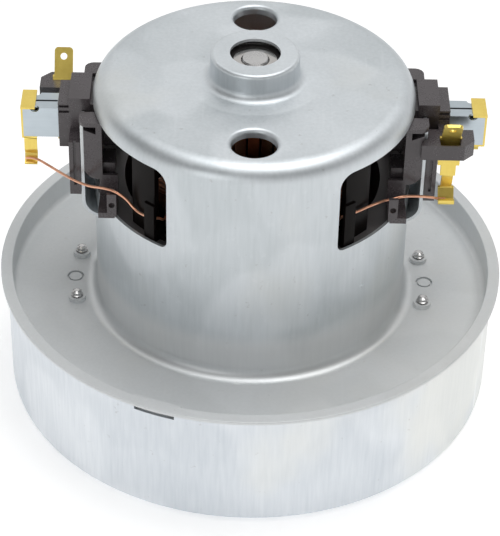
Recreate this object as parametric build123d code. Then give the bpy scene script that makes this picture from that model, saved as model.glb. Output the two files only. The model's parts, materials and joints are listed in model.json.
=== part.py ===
from build123d import *
import math
import os

# Vacuum cleaner motor: millimetres, Z along the shaft, Z zero at the bottom of the fan cover.
# The two brushes lie along X, the two field coils lie towards minus and plus Y.

# Clearances and overruns
overrun = 5.0
fit_gap = 0.2
running_gap = 0.05
seat_gap = 0.1
full_turn = 360

# Drawn housing: can, flange and rim in one sheet
sheet = 0.8
rim_radius = 67.5
rim_reach = 1.7
rim_top = 35.8
rim_edge_round = 0.35
rim_root_round = 1.5
floor_top = 28.0
can_radius = 41.5
can_top = 93.4
can_bend = 4.7
can_root_round = 3.0
boss_radius = 11.45
boss_rise = 7.6
boss_hole = 6.5
boss_edge_round = 1.0
boss_root_round = 2.2
boss_swell_radius = 17.5
boss_swell = 0.5
boss_swell_round = 8.0
vent_offset = 29.3
vent_clear = 5.75
vent_bend = 1.1
vent_depth = 2.4
dimple_radius = 0.7
dimple_depth = 0.35
dimple_height = 50.3
dimple_angle = 46.6

# Side windows and the forked tongues that carry the brush holders
window_bottom = 65.0
window_top = 88.2
window_half_angle = 59.0
window_top_corner = 4.0
window_bottom_corner = 2.0
tongue_gap = 2.6
tongue_half_width = 12.3
tongue_root = 57.4
tongue_bend = 5.0
tongue_top = 86.5
tongue_end_round = 1.0

# Fan cover
cover_sheet = 0.7
cover_bend = 2.5
inlet_radius = 18.5
inlet_collar = 4.2
inlet_bend = 1.6
slit_start_angle = 244.0
slit_end_angle = 253.5
slit_height = 2.6
slit_pocket_margin_angle = 1.0
slit_pocket_depth = 1.3
slit_pocket_height = 4.5

# Lower bearing bracket, its screws and the locating pips
screw_x = 46.6
screw_y = 9.9
screw_radius = 1.6
screw_root = 1.3
screw_pitch = 0.8
screw_reach = 2.9
screw_head_radius = 3.4
screw_head_height = 2.2
collar_radius = 2.35
collar_height = 1.2
pip_x = 47.7
pip_radius = 1.7
pip_hole = 2.3
pip_reach = 0.7
bracket_sheet = 1.2
bracket_end_share = 0.5876
bracket_half_width = 15.0
bracket_hub_radius = 20.0
bracket_corner = 6.0
bracket_rib_radius = 2.0
bracket_rib_inner = 17.5
bracket_rib_outer = 38.0

# Bearings: bore radius, outer radius, width, ball radius, ball count
top_bore = 3.5
top_outer = 9.5
top_width = 6.0
top_pitch = 6.5
top_ball = 1.5875
top_balls = 7
top_land_inner = 5.55
top_land_outer = 7.55
low_bore = 4.0
low_outer = 11.0
low_width = 7.0
low_pitch = 7.5
low_ball = 1.985
low_balls = 7
low_land_inner = 6.05
low_land_outer = 8.95
ring_edge = 0.3
seal_thickness = 0.5
seal_inset = 0.3
seal_gap = 0.12
cage_wall = 0.5
cage_margin = 0.35
pocket_gap = 0.12
cup_wall = 1.2
cup_lip_radius = 7.6
ring_bumps = 18
band_wall = 0.3
band_height = 4.8
washer_height = 1.2
washer_sheet = 0.4
washer_inner = 7.1
washer_outer = 9.2
washer_waves = 3
wave_steps = 8

# Rotor
shaft_inset = 1.6
shaft_start = 8.0
shaft_body = 5.0
shaft_chamfer = 0.3
rotor_radius = 20.0
stack_bottom = 36.0
stack_top = 64.0
rotor_slots = 22
rotor_slot_width = 2.6
rotor_slot_depth = 8.5
rotor_slot_mouth = 1.0
rotor_tip = 1.2
winding_radius = 17.8
winding_top_height = 7.6
winding_bottom_height = 5.2
winding_round = 3.0
commutator_radius = 12.0
commutator_bottom = 73.0
commutator_top = 88.2
commutator_bars = 22
bar_depth = 2.6
bar_gap = 0.5
riser_height = 2.4
riser_reach = 1.4
hub_end = 1.4

# Impeller, spacer, washers and nut
fan_room = 11.1
fan_sheet = 0.8
fan_back_top = 17.4
fan_eye_radius = 20.0
fan_eye_bottom = 4.6
fan_rim_bottom = 9.6
fan_blades = 9
blade_start = 21.5
blade_inset = 0.8
blade_sweep_angle = 62.0
blade_bulge_share = 0.62
fan_washer_radius = 11.0
fan_washer_sheet = 1.0
spacer_radius = 6.5
nut_flats = 13.0
nut_sides = 6
nut_height = 5.6
nut_chamfer = 0.8

# Diffuser
diffuser_plate = 1.2
diffuser_plate_bottom = 18.7
diffuser_bore = 13.4
diffuser_room = 3.6
diffuser_foot_gap = 0.5
return_vanes = 12
return_vane_sheet = 1.4
return_vane_start = 24.0
return_vane_angle = 48.0
outer_vanes = 15
outer_vane_sheet = 1.5
outer_vane_gap = 1.6
outer_vane_angle = 20.0
outer_vane_drop = 9.0
head_room = 0.8

# Stator
stator_bore = 20.6
shoe_radius = 24.2
yoke_inner = 33.6
pole_half_width = 13.0
shoe_half_angle = 58.0
yoke_notch_radius = 3.0

# Field coils
coil_inner = 25.0
coil_outer = 33.0
coil_half_angle = 56.0
coil_top = 73.2
coil_bottom = 31.0
coil_corner = 4.0
field_wire = 0.5
field_wire_gap = 0.45
field_loops = 6
wire_lift = 0.15
loop_stations = 8
gap_samples = 900
gap_skip = 12
frame_sheet = 1.2
frame_wall_room = 2.6
frame_wall_sheet = 1.6
frame_wall_start_angle = 38.7
frame_wall_end_angle = 51.6
frame_wall_top = 87.4
frame_skew_angle = 1.4
frame_lip_height = 6.0
frame_notch_angle = 40.0
frame_notch_width = 3.4
frame_notch_height = 9.5
frame_post_room = 0.3
frame_post_sheet = 1.0
frame_post_start_angle = 36.2
frame_post_end_angle = 41.0
frame_post_foot = 67.6
frame_post_left_top = 75.3
frame_post_right_top = 77.4

# Brush gear
brush_height = 80.8
tube_half_width = 3.6
tube_half_height = 4.4
tube_wall = 0.5
tube_start = 14.4
tube_reach = 9.3
tube_seam = 0.7
tube_seam_step = 0.5
tube_notch_radius = 1.2
tube_notch_inset = 3.1
brush_length = 26.0
brush_chamfer = 0.5
spring_radius = 2.2
spring_wire = 0.25
spring_turns = 9
braid_radius = 0.7
cap_sheet = 0.5
cap_flap_length = 3.2
cap_flap_half_width = 4.2
hook_width = 3.3
hook_inset = 0.1
hook_sheet = 0.5
hook_foot_width = 4.4

# Brush holder moulding
neck_half_width = 5.6
neck_length = 8.5
neck_reach = 2.9
neck_bottom = 74.5
neck_top = 88.0
neck_step = 0.5
neck_step_height = 2.7
neck_slim = 0.6
groove_height = 0.7
groove_depth = 0.7
groove_spacing = 1.6
crown_step = 0.4
crown_length = 5.4
crown_half_width = 6.1
crown_top = 90.0
plate_thickness = 2.9
plate_half_width = 11.5
plate_bottom = 64.0
plate_top = 80.2
plate_groove = 0.7
cheek_depth = 2.2
cheek_half_width = 14.0
cheek_bottom = 70.7
cheek_top = 85.8
cheek_fall = 2.0
cheek_round = 3.4
lug_length = 3.1
lug_half_width = 12.0
lug_height = 3.8
ear_start = 9.0
ear_end = 14.3
ear_reach = 2.8
ear_sheet = 1.2
ear_round = 2.4
ear_wall = 1.5
leg_inward = 6.9
leg_outward = 2.2
leg_panel = 2.4
leg_sheet = 1.0
leg_back = 13.0
leg_front = 22.6
leg_bottom = 64.65
leg_panel_top = 72.0
leg_bar_height = 1.6
leg_hole = 0.8
leg_hole_inset = 1.2
leg_hole_height = 4.0

# Terminals
terminal_sheet = 0.8
block_inward = 7.5
block_outward = 6.0
block_back = 8.0
block_front = 15.5
block_bottom = 79.6
block_top = 84.0
block_chamfer = 2.6
recess_inward = 2.7
recess_outward = 2.4
recess_depth = 2.6
recess_wall = 0.5
tab_inset = 0.1
tab_width = 4.8
tab_length = 8.4
tab_lean = 34.0
tab_hole = 0.9
tab_hole_inset = 2.4
tab_corner = 1.0
strip_place = 12.0
strip_wide = 5.6
strip_neck_width = 3.9
strip_waist = 2.9
strip_foot = 4.1
strip_shoulder = 75.9
strip_neck = 72.7
strip_kink = 68.0
strip_kink_in = 1.6
strip_end = 65.2
strip_end_out = 0.4
strip_curl = 2.3
strip_curl_rise = 1.2
strip_bend = 0.9

# Coil lead wires
lead_wire = 0.35
lead_hold = 0.3
lead_bite = 1.9
lead_start_inset = 0.2
lead_free_inset = 2.1
lead_bend_share = 0.45


# Values worked out from the ones above
can_inner = can_radius - sheet
can_ceiling = can_top - sheet
boss_top = can_top + boss_rise
shaft_end = boss_top - shaft_inset
floor_under = floor_top - sheet
boss_inner = boss_radius - sheet
boss_ceiling = boss_top - sheet
cover_radius = rim_radius - rim_reach
rim_wall_outer = cover_radius - cover_sheet
rim_wall_inner = rim_wall_outer - sheet
bracket_half_length = screw_x + bracket_end_share * (rim_wall_inner - screw_x)
fan_radius = rim_wall_outer - fan_room
blade_end = fan_radius - blade_inset
frame_wall_outer = can_inner - frame_wall_room
frame_wall_inner = frame_wall_outer - frame_wall_sheet
frame_post_outer = can_inner - frame_post_room
frame_post_inner = frame_post_outer - frame_post_sheet
diffuser_radius = rim_wall_outer - diffuser_room
diffuser_foot_radius = rim_wall_outer - diffuser_foot_gap
outer_vane_start = fan_radius + outer_vane_gap
lip_under = rim_top - sheet
bracket_bottom = floor_under - bracket_sheet
top_bearing_top = boss_ceiling - washer_height
top_bearing_bottom = top_bearing_top - top_width
low_bearing_bottom = bracket_bottom - (low_width - bracket_sheet - cup_wall) + cup_wall
low_bearing_top = low_bearing_bottom + low_width
tube_inner_half_width = tube_half_width - tube_wall
tube_inner_half_height = tube_half_height - tube_wall
brush_start = commutator_radius
brush_end = brush_start + brush_length
tongue_face = can_radius + tongue_gap
plate_inner = tongue_face + fit_gap
plate_outer = plate_inner + plate_thickness
neck_outer = plate_outer + neck_reach
tube_end = neck_outer + tube_reach
hook_outer = tube_end - hook_inset
hook_inner = hook_outer - hook_width
cheek_inner = can_inner - cheek_depth
lug_inner = cheek_inner - lug_length
neck_inner = cheek_inner - neck_length
leg_inner = can_radius - leg_inward
leg_outer = can_radius - leg_outward
crown_inner = can_radius + crown_step
crown_outer = crown_inner + crown_length
neck_slot_outer = neck_outer + overrun
tab_place = neck_outer - tab_inset
floor_over = floor_top + overrun

pieces = {}


def keep(name, shape):
    """Stores one named piece."""
    pieces[name] = shape


def block(x0, x1, y0, y1, z0, z1):
    """Box between two corners."""
    centre = Pos((x0 + x1) / 2, (y0 + y1) / 2, (z0 + z1) / 2)
    return centre * Box(x1 - x0, y1 - y0, z1 - z0)


def disc(radius, z0, z1):
    """Cylinder on the Z axis."""
    return Pos(0, 0, (z0 + z1) / 2) * Cylinder(radius, z1 - z0)


def tube(outer, inner, z0, z1):
    """Round tube on the Z axis."""
    hole = disc(inner, z0 - overrun, z1 + overrun)
    return disc(outer, z0, z1) - hole


def rounded_face(points, radii):
    """Flat face inside a closed outline whose corners carry the given radii."""
    return make_face(FilletPolyline(*points, radius=radii, close=True))


def turned(corners):
    """Ring turned about Z from (radius, height, corner round) corners."""
    points = [(r, 0, z) for r, z, _ in corners]
    return revolve(rounded_face(points, [f for _, _, f in corners]), axis=Axis.Z)


def prism(corners, across, low, high):
    """Solid with the outline given by (a, b, corner round), drawn across one axis."""
    places = {"x": lambda a, b: (low, a, b), "y": lambda a, b: (a, low, b), "z": lambda a, b: (a, b, low)}
    ways = {"x": Vector(1, 0, 0), "y": Vector(0, 1, 0), "z": Vector(0, 0, 1)}
    points = [places[across](a, b) for a, b, _ in corners]
    face = rounded_face(points, [f for _, _, f in corners])
    return extrude(face, amount=high - low, dir=ways[across])


def offset_corner(before, here, after, side):
    """Corner of a line set off to one side, mitred, with the sign of its turn."""
    ahead = (Vector(*after) - Vector(*here)).normalized()
    behind = (Vector(*here) - Vector(*before)).normalized()
    turn = behind.X * ahead.Y - behind.Y * ahead.X
    normal = Vector(-behind.Y - ahead.Y, behind.X + ahead.X).normalized()
    stretch = side / normal.dot(Vector(-behind.Y, behind.X))
    place = Vector(*here) + normal * stretch
    return place.X, place.Y, turn


def ribbon_outline(path, thickness):
    """Closed outline of a strip of one thickness bent along (a, b, bend radius) corners."""
    points = [(a, b) for a, b, _ in path]
    sides = []
    for side in (thickness / 2, -thickness / 2):
        row = []
        for i, (a, b, bend) in enumerate(path):
            before = points[i - 1] if i else (2 * a - points[1][0], 2 * b - points[1][1])
            last = i == len(path) - 1
            after = (2 * a - points[i - 1][0], 2 * b - points[i - 1][1]) if last else points[i + 1]
            x, y, turn = offset_corner(before, (a, b), after, side)
            radius = 0 if i == 0 or last else bend - math.copysign(side, turn * side)
            if bend and turn * side < 0:
                radius = bend + abs(side)
            row.append((x, y, max(radius, 0)))
        sides.append(row)
    return sides[0] + sides[1][::-1]


def ribbon(path, thickness, across, low, high):
    """Bent sheet strip: the outline of its edge drawn across one axis."""
    return prism(ribbon_outline(path, thickness), across, low, high)


def sector(inner, outer, start, end, z0, z1):
    """Piece of a round tube between two angles from plus X."""
    face = Rot(0, 0, start) * rounded_face(
        [(inner, 0, z0), (outer, 0, z0), (outer, 0, z1), (inner, 0, z1)], 0
    )
    return revolve(face, axis=Axis.Z, revolution_arc=end - start)


def around(shape, count):
    """Copies of a shape spread evenly about Z."""
    return [Rot(0, 0, full_turn * i / count) * shape for i in range(count)]


def half_turn(shape):
    """The same shape on the other side of the shaft."""
    return Rot(0, 0, full_turn / 2) * shape


def polar(radius, angle, height):
    """Point at a radius and an angle from plus X."""
    turn = math.radians(angle)
    return radius * math.cos(turn), radius * math.sin(turn), height


def bend_radii(points, share):
    """Radius of each inner corner: as large as its two runs allow."""
    radii = []
    for before, here, after in zip(points, points[1:], points[2:]):
        a = Vector(*here) - Vector(*before)
        b = Vector(*after) - Vector(*here)
        turn = math.radians(a.get_angle(b))
        radii.append(share * min(a.length, b.length) / math.tan(turn / 2))
    return radii


def round_wire(points, radii, radius):
    """Round wire along straight runs joined by tangent arcs."""
    path = FilletPolyline(*points, radius=radii)
    start = Plane(origin=path @ 0, z_dir=path % 0)
    return sweep(start * Circle(radius), path=path)


def least_gap(path, steps, skip, wire_radius):
    """Least gap of a wound wire to itself, measured on points along it."""
    spots = [path @ (i / steps) for i in range(steps + 1)]
    least = min(
        (spots[i] - spots[j]).length for i in range(len(spots)) for j in range(i + skip, len(spots))
    )
    return least - 2 * wire_radius


def housing_shell():
    """Drawn shell of revolution: bearing boss, plateau, can wall, flange floor and rim."""
    swell_top = can_top + boss_swell
    swell_under = can_ceiling + boss_swell
    return turned([
        (boss_hole, boss_top, 0),
        (boss_radius, boss_top, boss_edge_round),
        (boss_radius, swell_top, boss_root_round),
        (boss_swell_radius, can_top, boss_swell_round),
        (can_radius, can_top, can_bend),
        (can_radius, floor_top, can_root_round),
        (rim_wall_inner, floor_top, rim_root_round),
        (rim_wall_inner, rim_top, rim_edge_round),
        (rim_radius, rim_top, rim_edge_round),
        (rim_radius, lip_under, 0),
        (rim_wall_outer, lip_under, 0),
        (rim_wall_outer, floor_under, rim_root_round + sheet),
        (can_inner, floor_under, can_root_round + sheet),
        (can_inner, can_ceiling, can_bend - sheet),
        (boss_swell_radius, can_ceiling, boss_swell_round),
        (boss_inner, swell_under, boss_root_round - sheet),
        (boss_inner, boss_ceiling, 0),
        (boss_hole, boss_ceiling, 0),
    ])


def vent_ring():
    """Turned-in edge of a top hole, about Z at the hole's centre."""
    outer = vent_clear + vent_bend + sheet
    return turned([
        (outer, can_top, 0),
        (vent_clear, can_top, vent_bend),
        (vent_clear, can_top - vent_depth, 0),
        (vent_clear + sheet, can_top - vent_depth, 0),
        (vent_clear + sheet, can_ceiling, vent_bend / 2),
        (outer, can_ceiling, 0),
    ])


def radial_edges(shape, low, high):
    """Level straight edges of a shape whose middles lie between two heights."""
    straight = shape.edges().filter_by(GeomType.LINE)
    level = [e for e in straight if e.bounding_box().size.Z < running_gap]
    return [e for e in level if low < e.center().Z < high]


def window_cutter():
    """Cutter of the window towards plus X, with its rounded corners."""
    inner = can_inner - overrun / 2
    outer = can_radius + overrun / 2
    middle = (window_bottom + window_top) / 2
    cutter = sector(inner, outer, -window_half_angle, window_half_angle, window_bottom, window_top)
    cutter = fillet(radial_edges(cutter, middle, window_top + seat_gap), window_top_corner)
    return fillet(radial_edges(cutter, 0, middle), window_bottom_corner)


def tongue():
    """Forked tongue of the can wall towards plus X, pressed out from its root."""
    mid = tongue_face - sheet / 2
    root = tongue_root + sheet / 2
    start = can_inner - overrun
    strip = ribbon(
        [(start, root, 0), (mid, root, tongue_bend), (mid, tongue_top, 0)],
        sheet, "y", -tongue_half_width, tongue_half_width,
    )
    gap = neck_half_width + fit_gap
    beyond = tongue_face + overrun
    fork = block(can_inner, beyond, -gap, gap, neck_bottom - fit_gap, tongue_top + overrun)
    tips = []
    for side in (-1, 1):
        for edge, way in ((side * tongue_half_width, side), (side * gap, -side)):
            inset = edge - way * tongue_end_round
            near, far = sorted((edge, inset))
            square = block(can_inner, beyond, near, far, tongue_top - tongue_end_round, tongue_top)
            centre = Pos((can_inner + beyond) / 2, inset, tongue_top - tongue_end_round)
            tips.append(square - centre * Rot(0, 90, 0) * Cylinder(tongue_end_round, beyond))
    return strip - fork - tips - disc(can_inner, tongue_root - overrun, tongue_top + overrun)


def motor_housing():
    """The whole drawn and punched housing."""
    body = housing_shell()
    vent_hole = disc(vent_clear + vent_bend + sheet, can_ceiling - overrun, can_top + overrun)
    for side in (-1, 1):
        place = Pos(0, side * vent_offset, 0)
        body = body - place * vent_hole + place * vent_ring()
    window = window_cutter()
    body = body - window - half_turn(window)
    body = body + tongue() + half_turn(tongue())
    collar = disc(collar_radius, floor_under, floor_top + collar_height)
    thread = disc(screw_radius, bracket_bottom, floor_over)
    for x in (-screw_x, screw_x):
        for y in (-screw_y, screw_y):
            body = body + Pos(x, y, 0) * collar - Pos(x, y, 0) * thread
    for x in (-pip_x, pip_x):
        body = body - Pos(x, 0, 0) * disc(pip_hole, bracket_bottom, floor_over)
    pocket_inner = rim_wall_outer - sheet - slit_pocket_depth
    pocket_low = lip_under - slit_pocket_height
    body = body + sector(
        pocket_inner, rim_wall_inner + sheet / 2, slit_start_angle - slit_pocket_margin_angle,
        slit_end_angle + slit_pocket_margin_angle, pocket_low, lip_under,
    )
    body = body - sector(
        pocket_inner + sheet, rim_wall_outer + overrun / 2, slit_start_angle, slit_end_angle,
        pocket_low + sheet, lip_under,
    )
    x, y, z = polar(can_radius + dimple_radius - dimple_depth, -dimple_angle, dimple_height)
    return body - Pos(x, y, z) * Sphere(dimple_radius)


def fan_cover():
    """Deep cup with a turned-in inlet eye and one pry slit under the rim."""
    cup = turned([
        (inlet_radius, inlet_collar, 0),
        (inlet_radius, 0, inlet_bend + cover_sheet),
        (cover_radius, 0, cover_bend),
        (cover_radius, lip_under, 0),
        (rim_wall_outer, lip_under, 0),
        (rim_wall_outer, cover_sheet, cover_bend - cover_sheet),
        (inlet_radius + cover_sheet, cover_sheet, inlet_bend),
        (inlet_radius + cover_sheet, inlet_collar, 0),
    ])
    slit = sector(
        rim_wall_inner, cover_radius + overrun, slit_start_angle, slit_end_angle,
        lip_under - slit_height, lip_under + overrun,
    )
    return cup - slit


def lower_bracket():
    """Stamped bridge under the flange that carries the lower bearing."""
    bridge = prism([
        (-bracket_half_length, -bracket_half_width, bracket_corner),
        (bracket_half_length, -bracket_half_width, bracket_corner),
        (bracket_half_length, bracket_half_width, bracket_corner),
        (-bracket_half_length, bracket_half_width, bracket_corner),
    ], "z", bracket_bottom, floor_under)
    bridge = bridge + disc(bracket_hub_radius, bracket_bottom, floor_under)
    cup_bottom = low_bearing_bottom - cup_wall
    cup = disc(low_outer + cup_wall, cup_bottom, floor_under)
    bridge = bridge + cup - disc(low_outer, low_bearing_bottom, floor_under + overrun)
    bridge = bridge - disc(cup_lip_radius, cup_bottom - overrun, floor_under)
    rib_length = bracket_rib_outer - bracket_rib_inner
    rib = Pos((bracket_rib_outer + bracket_rib_inner) / 2, 0, bracket_bottom) * Rot(0, 90, 0)
    for side in (-1, 1):
        turn = Rot(0, 0, full_turn / 4 * (1 - side))
        bridge = bridge + turn * rib * Cylinder(bracket_rib_radius, rib_length) - turn * block(
            bracket_rib_inner - overrun, bracket_rib_outer + overrun,
            -overrun, overrun, floor_under, floor_under + overrun,
        )
    for x in (-screw_x, screw_x):
        for y in (-screw_y, screw_y):
            bridge = bridge - Pos(x, y, 0) * disc(screw_radius, bracket_bottom - overrun, floor_top)
    for x in (-pip_x, pip_x):
        pip = disc(pip_radius, floor_under, floor_under + pip_reach)
        bridge = bridge + Pos(x, 0, 0) * pip
    return bridge


def screw():
    """Thread-forming screw from below, about Z."""
    top = floor_top + screw_reach
    head = bracket_bottom - screw_head_height
    profile = [(0, head), (screw_head_radius, head)]
    profile += [(screw_head_radius, bracket_bottom), (screw_root, bracket_bottom)]
    turns = int((top - bracket_bottom) / screw_pitch) - 1
    for i in range(turns):
        start = bracket_bottom + screw_pitch * i
        profile += [(screw_root, start + screw_pitch / 4), (screw_radius, start + screw_pitch / 2)]
        profile += [(screw_root, start + screw_pitch * 3 / 4)]
    profile += [(screw_root, top - screw_pitch / 2), (screw_root / 2, top), (0, top)]
    return turned([(r, z, 0) for r, z in profile])


def bracket_screws():
    """Four screws as separate solids in one group."""
    one = screw()
    places = [(x, y) for x in (-screw_x, screw_x) for y in (-screw_y, screw_y)]
    return Compound(children=[Pos(x, y, 0) * one for x, y in places])


def bearing(prefix, bore, outer, bottom, width, pitch, ball, count, land_inner, land_outer):
    """Deep-groove ball bearing: rings, balls in a cage, and two seals."""
    mid = bottom + width / 2
    top = bottom + width
    groove = Pos(0, 0, mid) * Torus(pitch, ball + running_gap)
    inner = turned([
        (bore, bottom, ring_edge), (land_inner, bottom, 0), (land_inner, top, 0), (bore, top, ring_edge)
    ])
    race = turned([
        (land_outer, bottom, 0), (outer, bottom, ring_edge), (outer, top, ring_edge), (land_outer, top, 0)
    ])
    keep(prefix + "_bearing_inner_ring", inner - groove)
    keep(prefix + "_bearing_outer_ring", race - groove)
    balls = around(Pos(pitch, 0, mid) * Sphere(ball), count)
    keep(prefix + "_bearing_balls", Compound(children=balls))
    half = ball + cage_margin
    cage = tube(pitch + cage_wall, pitch - cage_wall, mid - half, mid + half)
    pocket = Pos(pitch, 0, mid) * Rot(0, 90, 0) * Cylinder(ball + pocket_gap, pitch)
    keep(prefix + "_bearing_cage", Rot(0, 0, full_turn / count / 2) * cage - around(pocket, count))
    low = tube(land_outer, land_inner + seal_gap, bottom + seal_inset, bottom + seal_inset + seal_thickness)
    high = tube(land_outer, land_inner + seal_gap, top - seal_inset - seal_thickness, top - seal_inset)
    keep(prefix + "_bearing_seals", Compound(children=[low, high]))


def tolerance_ring():
    """Corrugated band that centres the top bearing in the boss."""
    low = top_bearing_top - seal_inset - band_height
    high = low + band_height
    band = tube(top_outer + band_wall, top_outer, low, high)
    spare = boss_inner - top_outer - band_wall
    bump = Pos(boss_inner - spare, 0, 0) * disc(spare, low, high)
    bumps = around(bump, ring_bumps)
    return band + bumps - disc(top_outer, low - overrun, high + overrun)


def wave_washer():
    """Spring washer that preloads the top bearing: a ring of shallow waves."""
    lift = (washer_height - washer_sheet) / 2
    level = top_bearing_top + washer_sheet / 2 + lift
    steps = washer_waves * wave_steps
    sections = []
    for i in range(steps):
        angle = full_turn * i / steps
        height = level + lift * math.sin(math.radians(angle * washer_waves))
        a = polar(washer_inner, angle, height - washer_sheet / 2)
        b = polar(washer_outer, angle, height - washer_sheet / 2)
        c = polar(washer_outer, angle, height + washer_sheet / 2)
        d = polar(washer_inner, angle, height + washer_sheet / 2)
        sections.append(Face(Wire.make_polygon([a, b, c, d])))
    half = steps // 2
    first = loft(sections[:half + 1], ruled=True)
    second = loft(sections[half:] + sections[:1], ruled=True)
    return first + second


def shaft():
    """Stepped shaft with the armature body between the two bearing seats."""
    return turned([
        (0, shaft_start, 0),
        (low_bore - shaft_chamfer, shaft_start, 0),
        (low_bore, shaft_start + shaft_chamfer, 0),
        (low_bore, low_bearing_top, 0),
        (shaft_body, low_bearing_top, 0),
        (shaft_body, top_bearing_bottom, 0),
        (top_bore, top_bearing_bottom, 0),
        (top_bore, shaft_end - shaft_chamfer, 0),
        (top_bore - shaft_chamfer, shaft_end, 0),
        (0, shaft_end, 0),
    ])


def rotor_slot():
    """Cutter of one armature slot with its narrow mouth, towards plus X."""
    outer = rotor_radius - rotor_tip
    inner = rotor_radius - rotor_slot_depth
    low = stack_bottom - overrun
    high = stack_top + overrun
    wide = block(inner, outer, -rotor_slot_width / 2, rotor_slot_width / 2, low, high)
    mouth = block(
        outer - seat_gap, rotor_radius + overrun, -rotor_slot_mouth / 2, rotor_slot_mouth / 2, low, high
    )
    return wide + mouth


def armature():
    """Armature core, its winding heads and slot bars, and the commutator."""
    core = tube(rotor_radius, shaft_body, stack_bottom, stack_top)
    keep("armature_core", core - around(rotor_slot(), rotor_slots))
    top_head = turned([
        (shaft_body, stack_top, 0), (winding_radius, stack_top, 0),
        (winding_radius, stack_top + winding_top_height, winding_round),
        (shaft_body, stack_top + winding_top_height, 0),
    ])
    bottom_head = turned([
        (shaft_body, stack_bottom - winding_bottom_height, 0),
        (winding_radius, stack_bottom - winding_bottom_height, winding_round),
        (winding_radius, stack_bottom, 0), (shaft_body, stack_bottom, 0),
    ])
    bar_side = rotor_slot_width / 2 - fit_gap
    bar = block(
        rotor_radius - rotor_slot_depth + fit_gap, rotor_radius - rotor_tip - fit_gap,
        -bar_side, bar_side, stack_bottom - fit_gap, stack_top + fit_gap,
    )
    keep("armature_winding", top_head + bottom_head + around(bar, rotor_slots))
    hub_radius = commutator_radius - bar_depth
    hub = tube(hub_radius, shaft_body, commutator_bottom - hub_end, commutator_top + hub_end)
    keep("commutator_hub", hub)
    bar = tube(commutator_radius, hub_radius, commutator_bottom, commutator_top)
    riser_top = commutator_bottom + riser_height
    riser = tube(commutator_radius + riser_reach, commutator_radius, commutator_bottom, riser_top)
    slot = block(
        0, commutator_radius + overrun, -bar_gap / 2, bar_gap / 2,
        commutator_bottom - overrun, commutator_top + overrun,
    )
    bars = bar + riser - around(slot, commutator_bars)
    keep("commutator_bars", Compound(children=[s for s in bars.solids()]))


def curved_vane(start_radius, end_radius, sweep_angle, thickness, bulge, z0, z1):
    """Upright vane that runs outward from plus X and trails back by an angle."""
    middle = start_radius + (end_radius - start_radius) / 2
    spots = [(start_radius, 0), (middle, sweep_angle * bulge), (end_radius, sweep_angle)]
    near = [polar(r, -a, z0) for r, a in spots]
    far = [polar(r, -a - math.degrees(thickness / r), z0) for r, a in spots]
    outline = Wire([
        ThreePointArc(*near), Line(near[2], far[2]), ThreePointArc(*far[::-1]), Line(far[0], near[0])
    ])
    return extrude(Face(outline), amount=z1 - z0, dir=(0, 0, 1))


def impeller():
    """Fan wheel: cone-shaped front disc with the eye, flat back disc and curved blades."""
    back_bottom = fan_back_top - fan_sheet
    front = turned([
        (fan_eye_radius, fan_eye_bottom, 0), (fan_radius, fan_rim_bottom, 0),
        (fan_radius, fan_rim_bottom + fan_sheet, 0), (fan_eye_radius, fan_eye_bottom + fan_sheet, 0),
    ])
    keep("impeller_front_disc", front)
    keep("impeller_back_disc", tube(fan_radius, low_bore, back_bottom, fan_back_top))
    blade = curved_vane(
        blade_start, blade_end, blade_sweep_angle, fan_sheet, blade_bulge_share, fan_eye_bottom, back_bottom
    )
    slope = (fan_rim_bottom - fan_eye_bottom) / (fan_radius - fan_eye_radius)
    beyond = fan_rim_bottom + fan_sheet + slope * overrun
    under = turned([
        (0, fan_eye_bottom - overrun, 0), (fan_radius + overrun, fan_eye_bottom - overrun, 0),
        (fan_radius + overrun, beyond, 0), (fan_eye_radius, fan_eye_bottom + fan_sheet, 0),
        (0, fan_eye_bottom + fan_sheet, 0),
    ])
    keep("impeller_blades", Compound(children=around(blade - under, fan_blades)))
    washer = tube(fan_washer_radius, low_bore, fan_back_top, fan_back_top + fan_washer_sheet)
    keep("upper_fan_washer", washer)
    keep("lower_fan_washer", tube(fan_washer_radius, low_bore, back_bottom - fan_washer_sheet, back_bottom))
    keep("fan_spacer", tube(spacer_radius, low_bore, fan_back_top + fan_washer_sheet, low_bearing_bottom))
    nut_top = back_bottom - fan_washer_sheet
    across = nut_flats / math.sqrt(3)
    nut_bottom = nut_top - nut_height
    corners = [polar(across, full_turn * i / nut_sides, nut_bottom) for i in range(nut_sides)]
    hexagon = extrude(Face(Wire.make_polygon(corners)), amount=nut_height, dir=(0, 0, 1))
    round_off = turned([
        (0, nut_bottom, 0), (nut_flats / 2, nut_bottom, 0),
        (nut_flats / 2 + nut_chamfer * 2, nut_bottom + nut_chamfer, 0),
        (nut_flats / 2 + nut_chamfer * 2, nut_top, 0), (0, nut_top, 0),
    ])
    keep("fan_nut", (hexagon & round_off) - disc(low_bore, nut_bottom - overrun, nut_top + overrun))


def diffuser():
    """Moulded guide wheel: plate, outer diffusing vanes below, return vanes above."""
    plate_top = diffuser_plate_bottom + diffuser_plate
    plate = tube(diffuser_radius, diffuser_bore, diffuser_plate_bottom, plate_top)
    vane = curved_vane(
        return_vane_start, diffuser_radius, return_vane_angle, return_vane_sheet,
        blade_bulge_share, plate_top - seat_gap, bracket_bottom,
    )
    outer = curved_vane(
        outer_vane_start, diffuser_foot_radius, outer_vane_angle, outer_vane_sheet, blade_bulge_share,
        diffuser_plate_bottom - outer_vane_drop, plate_top,
    )
    wheel = plate + around(vane, return_vanes) + around(outer, outer_vanes)
    head_bottom = bracket_bottom - screw_head_height - head_room
    head = disc(screw_head_radius + head_room, head_bottom, floor_top)
    for x in (-screw_x, screw_x):
        for y in (-screw_y, screw_y):
            wheel = wheel - Pos(x, y, 0) * head
    rib = block(
        bracket_rib_inner - overrun, bracket_rib_outer + head_room,
        -bracket_rib_radius - head_room, bracket_rib_radius + head_room,
        bracket_bottom - bracket_rib_radius - head_room, bracket_bottom + overrun,
    )
    return wheel - rib - half_turn(rib)


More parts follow.
